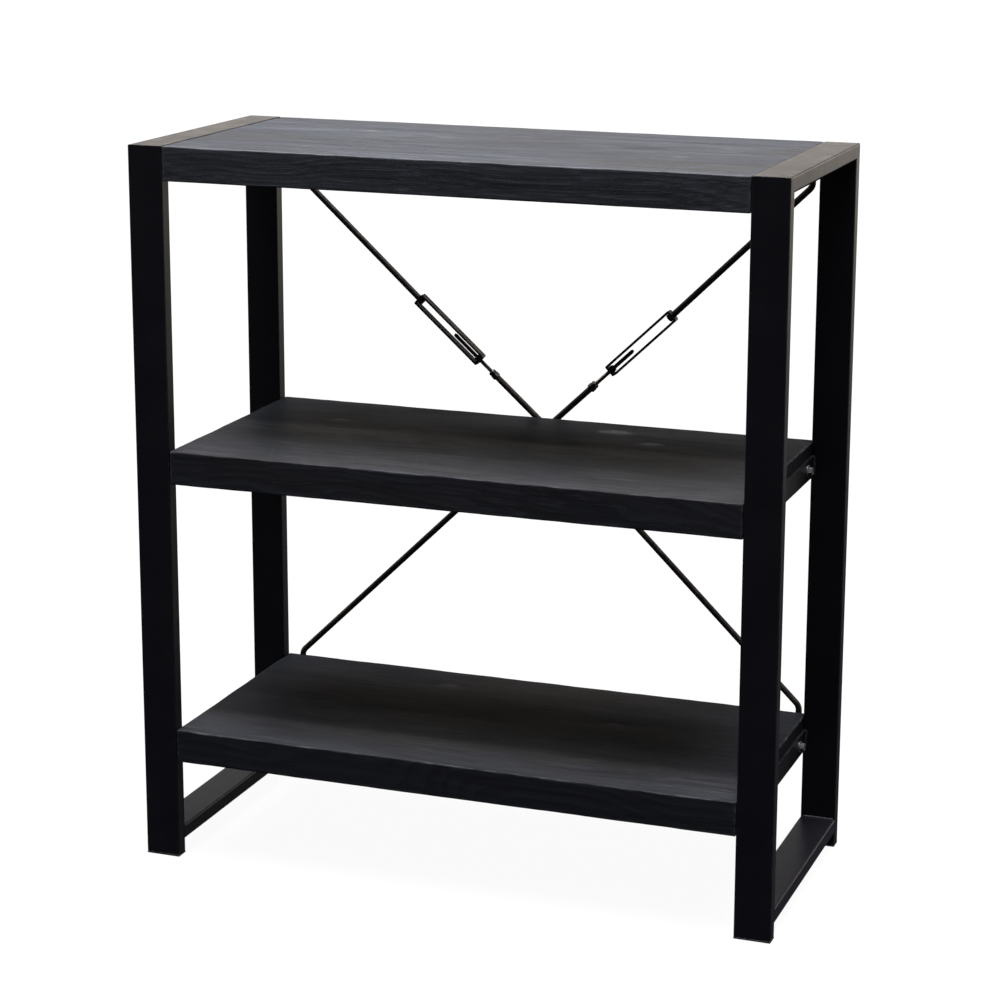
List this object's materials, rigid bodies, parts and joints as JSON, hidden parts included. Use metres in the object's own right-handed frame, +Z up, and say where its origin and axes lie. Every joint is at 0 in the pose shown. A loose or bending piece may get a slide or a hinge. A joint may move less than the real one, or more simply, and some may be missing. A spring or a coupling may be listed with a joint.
{
  "type": "bookcase",
  "caption": "Low open bookcase: flat-tube steel end frames, thick fixed wooden shelves, and crossed rear tie rods that open turnbuckles draw tight.",
  "frame": {"origin": "on the floor, in the middle of the outer box", "axes": "+X to the right seen from the front, along the boards; +Y from the front to the rear, where the tie rods are; +Z up"},
  "size_m": [0.904, 0.3967, 1],
  "materials": {
    "frame_coat": "black powder coat, satin, finely mottled",
    "shelf_wood": "black-stained timber with its grain showing, matt oiled",
    "rod_steel": "blackened steel, waxed, brownish where handled",
    "zinc_fastener": "dull zinc plating",
    "foot_plastic": "black moulded polyethylene"
  },
  "bodies": {
    "frame": {"top_board": "shelf_wood", "middle_shelf": "shelf_wood", "bottom_shelf": "shelf_wood", "left_front_upright": "frame_coat", "left_rear_upright": "frame_coat", "left_top_rail": "frame_coat", "left_bottom_rail": "frame_coat", "left_front_foot_plug": "foot_plastic", "left_rear_foot_plug": "foot_plastic", "left_top_board_bar": "frame_coat", "left_middle_shelf_bar": "frame_coat", "left_bottom_shelf_bar": "frame_coat", "left_top_board_front_bolt": "zinc_fastener", "left_top_board_rear_bolt": "zinc_fastener", "left_middle_shelf_front_bolt": "zinc_fastener", "left_middle_shelf_rear_bolt": "zinc_fastener", "left_bottom_shelf_front_bolt": "zinc_fastener", "left_bottom_shelf_rear_bolt": "zinc_fastener", "left_brace_top_screw": "zinc_fastener", "left_brace_bottom_screw": "zinc_fastener", "left_brace_upper_rod": "rod_steel", "right_front_upright": "frame_coat", "right_rear_upright": "frame_coat", "right_top_rail": "frame_coat", "right_bottom_rail": "frame_coat", "right_front_foot_plug": "foot_plastic", "right_rear_foot_plug": "foot_plastic", "right_top_board_bar": "frame_coat", "right_middle_shelf_bar": "frame_coat", "right_bottom_shelf_bar": "frame_coat", "right_top_board_front_bolt": "zinc_fastener", "right_top_board_rear_bolt": "zinc_fastener", "right_middle_shelf_front_bolt": "zinc_fastener", "right_middle_shelf_rear_bolt": "zinc_fastener", "right_bottom_shelf_front_bolt": "zinc_fastener", "right_bottom_shelf_rear_bolt": "zinc_fastener", "right_brace_top_screw": "zinc_fastener", "right_brace_bottom_screw": "zinc_fastener", "right_brace_upper_rod": "rod_steel"},
    "left_turnbuckle": {"left_turnbuckle": "rod_steel"},
    "left_draw_rod": {"left_brace_lower_rod": "rod_steel", "left_brace_stud": "rod_steel"},
    "left_lock_nut": {"left_brace_lock_nut": "rod_steel"},
    "right_turnbuckle": {"right_turnbuckle": "rod_steel"},
    "right_draw_rod": {"right_brace_lower_rod": "rod_steel", "right_brace_stud": "rod_steel"},
    "right_lock_nut": {"right_brace_lock_nut": "rod_steel"}
  },
  "joints": [
    {"name": "left_turnbuckle_turn", "type": "hinge", "parent": "frame", "child": "left_turnbuckle", "pos_m": [-0.14195, 0.1845, 0.70365], "axis": [-0.7459, 0, 0.666], "range_deg": [-450, 450]},
    {"name": "left_rod_draw", "type": "slide", "parent": "frame", "child": "left_draw_rod", "axis": [-0.7459, 0, 0.666], "range_m": [-0.00125, 0.00125]},
    {"name": "left_lock_nut_spin", "type": "hinge", "parent": "left_draw_rod", "child": "left_lock_nut", "pos_m": [-0.07593, 0.1845, 0.6447], "axis": [-0.7459, 0, 0.666], "continuous": true},
    {"name": "right_turnbuckle_turn", "type": "hinge", "parent": "frame", "child": "right_turnbuckle", "pos_m": [0.14535, 0.19037, 0.70246], "axis": [0.725, -0.0176, 0.6886], "range_deg": [-450, 450]},
    {"name": "right_rod_draw", "type": "slide", "parent": "frame", "child": "right_draw_rod", "axis": [0.725, -0.0176, 0.6886], "range_m": [-0.00125, 0.00125]},
    {"name": "right_lock_nut_spin", "type": "hinge", "parent": "right_draw_rod", "child": "right_lock_nut", "pos_m": [0.07634, 0.19205, 0.63691], "axis": [0.725, -0.0176, 0.6886], "continuous": true}
  ],
  "couplings": [
    {"joint": "left_turnbuckle_turn", "follows": "left_rod_draw", "rad_per_m": -6283.2},
    {"joint": "right_turnbuckle_turn", "follows": "right_rod_draw", "rad_per_m": -6283.2}
  ]
}
